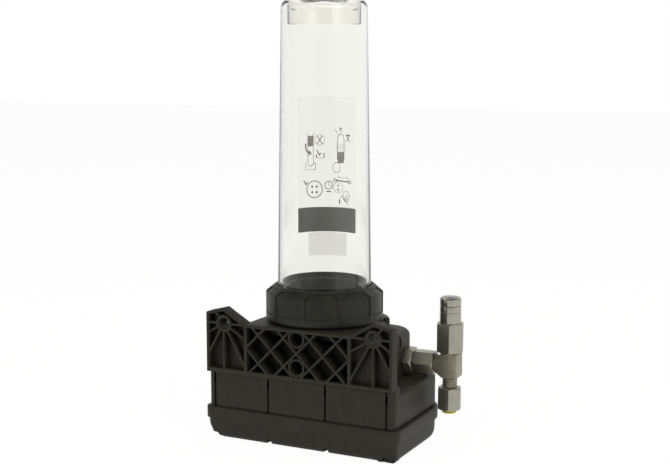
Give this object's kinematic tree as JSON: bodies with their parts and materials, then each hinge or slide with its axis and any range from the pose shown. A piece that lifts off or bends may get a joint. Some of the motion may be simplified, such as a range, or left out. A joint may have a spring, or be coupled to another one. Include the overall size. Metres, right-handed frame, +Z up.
{
  "type": "electric grease pump",
  "caption": "Wall-mounted electric grease pump with a clear reservoir tube, a ribbed mounting plate, a threaded collar nut and a steel outlet with a relief valve.",
  "frame": {"origin": "on the flat underside of the lower cover, directly below the reservoir tube's axis", "axes": "+Z up along the reservoir tube, +Y out of the ribbed wall plate towards the wall, -X towards the steel outlet fittings"},
  "size_m": [0.1565, 0.0837, 0.281],
  "materials": {
    "black_plastic": "fine moulded texture, glass-filled nylon",
    "nut_plastic": "fine moulded texture",
    "dark_plastic": "smooth moulded",
    "clear_plastic": "clear polycarbonate",
    "label_film": "printed clear film",
    "sticker_paper": "pale sticker",
    "seal_rubber": "nitrile rubber",
    "zinc_steel": "zinc plated",
    "fitting_steel": "turned, nickel-zinc plated",
    "bright_steel": "ground",
    "spring_steel": "drawn wire",
    "rotor_steel": "stacked laminations",
    "magnet_ferrite": "ground ferrite",
    "bronze": "sintered bronze",
    "copper": "soft copper",
    "contact_brass": "stamped brass",
    "wheel_plastic": "moulded acetal",
    "yellow_plastic": "soft polyethylene",
    "board_laminate": "solder mask",
    "capacitor_sleeve": "shrink sleeve"
  },
  "bodies": {
    "pump": {"housing_skirt": "black_plastic", "housing_block": "black_plastic", "housing_deck": "black_plastic", "housing_plate": "black_plastic", "housing_carriers": "black_plastic", "lower_cover": "black_plastic", "cover_gasket": "seal_rubber", "cover_screws": "zinc_steel", "reservoir_tube": "clear_plastic", "tube_seal": "seal_rubber", "instruction_label": "label_film", "date_sticker": "sticker_paper", "motor_can": "zinc_steel", "motor_magnets": "magnet_ferrite", "motor_end_cap": "dark_plastic", "motor_terminals": "contact_brass", "motor_screws": "zinc_steel", "worm_bush": "bronze", "upper_bush": "bronze", "lower_bush": "bronze", "shaft_seal": "seal_rubber", "bearing_plate": "zinc_steel", "bearing_plate_screws": "zinc_steel", "pump_element": "fitting_steel", "element_washer": "copper", "check_spring": "spring_steel", "check_plug": "fitting_steel", "union_nut": "fitting_steel", "tee_body": "fitting_steel", "relief_valve_body": "fitting_steel", "relief_valve_cap": "fitting_steel", "relief_spring": "spring_steel", "piston_spring": "spring_steel", "outlet_nut": "fitting_steel", "connector_socket": "dark_plastic", "connector_pins": "contact_brass", "connector_seal": "seal_rubber", "circuit_board": "board_laminate", "board_capacitor": "capacitor_sleeve", "board_relay": "dark_plastic", "board_chip": "dark_plastic", "board_screws": "zinc_steel"},
    "collar": {"collar_nut": "nut_plastic"},
    "rotor": {"motor_rotor": "rotor_steel", "motor_shaft": "bright_steel", "worm": "bright_steel"},
    "wheel": {"worm_wheel": "wheel_plastic", "drive_shaft": "bright_steel", "eccentric_cam": "bright_steel", "cam_ring": "bright_steel"},
    "piston": {"pump_piston": "bright_steel"},
    "outlet_ball": {"check_ball": "bright_steel"},
    "valve_ball": {"relief_ball": "bright_steel"},
    "plug": {"dust_plug": "yellow_plastic"}
  },
  "joints": [
    {"name": "collar_turn", "type": "hinge", "parent": "pump", "child": "collar", "pos_m": [0, 0, 0.09], "axis": [0, 0, 1], "continuous": true},
    {"name": "motor_spin", "type": "hinge", "parent": "pump", "child": "rotor", "pos_m": [0.02, 0, 0.0245], "axis": [1, 0, 0], "continuous": true},
    {"name": "wheel_spin", "type": "hinge", "parent": "pump", "child": "wheel", "pos_m": [-0.008, -0.0207, 0.0245], "axis": [0, 0, 1], "continuous": true},
    {"name": "piston_stroke", "type": "slide", "parent": "pump", "child": "piston", "axis": [-1, 0, 0], "range_m": [0, 0.003], "stiffness_N_per_m": 400, "deforming": ["piston_spring"]},
    {"name": "check_ball_lift", "type": "slide", "parent": "pump", "child": "outlet_ball", "axis": [-1, 0, 0], "range_m": [0, 0.001], "stiffness_N_per_m": 200, "deforming": ["check_spring"]},
    {"name": "relief_ball_lift", "type": "slide", "parent": "pump", "child": "valve_ball", "axis": [0, 0, 1], "range_m": [0, 0.0015], "stiffness_N_per_m": 800, "deforming": ["relief_spring"]},
    {"name": "dust_plug_pull", "type": "slide", "parent": "pump", "child": "plug", "axis": [0, 0, -1], "range_m": [0, 0.012]}
  ],
  "couplings": [
    {"joint": "wheel_spin", "follows": "motor_spin", "ratio": 0.025}
  ]
}
